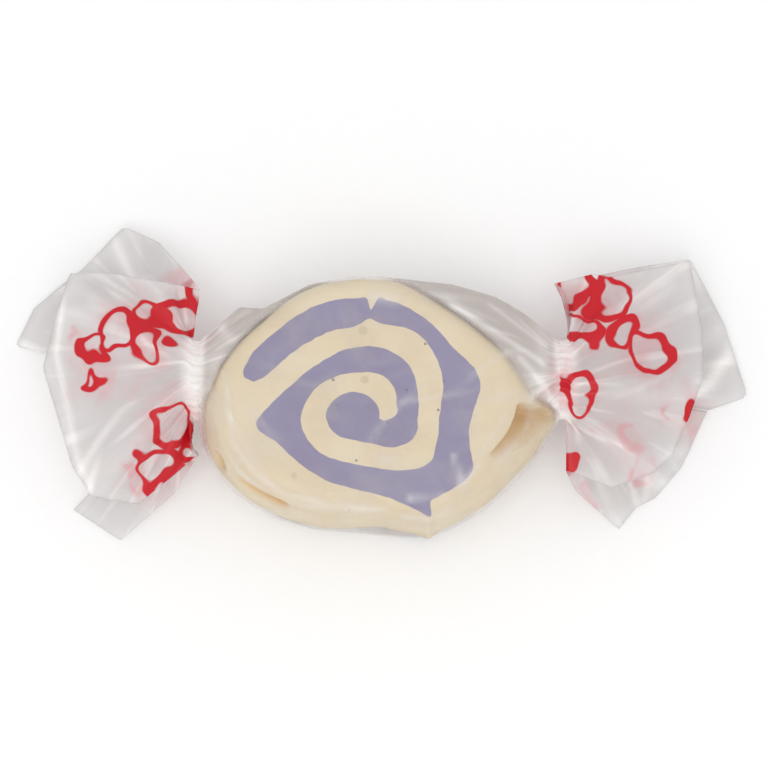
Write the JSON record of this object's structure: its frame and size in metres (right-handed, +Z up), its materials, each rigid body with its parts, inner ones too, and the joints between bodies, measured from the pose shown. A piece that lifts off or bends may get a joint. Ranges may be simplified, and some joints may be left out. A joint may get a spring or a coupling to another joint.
{
  "type": "wrapped salt water taffy",
  "caption": "Thick slice of cream taffy with a rolled purple strip, wrapped in translucent waxed paper that is twisted shut and fanned out at both ends.",
  "frame": {"origin": "middle of the flat face that the wrapped slice rests on", "axes": "+X along the length from one twist to the other, +Z up out of the cut face with the rolled strip, +Y across"},
  "size_m": [0.065, 0.0294, 0.0145],
  "materials": {
    "cream_taffy": "soft opaque cream coloured taffy with a dull waxy sheen",
    "purple_taffy": "soft opaque greyish purple taffy with a dull waxy sheen",
    "waxed_paper": "thin translucent white waxed paper with creases and loose red print at its ends"
  },
  "bodies": {
    "root": {"taffy_cream": "cream_taffy", "taffy_swirl": "purple_taffy", "wrapper": "waxed_paper"}
  },
  "joints": []
}
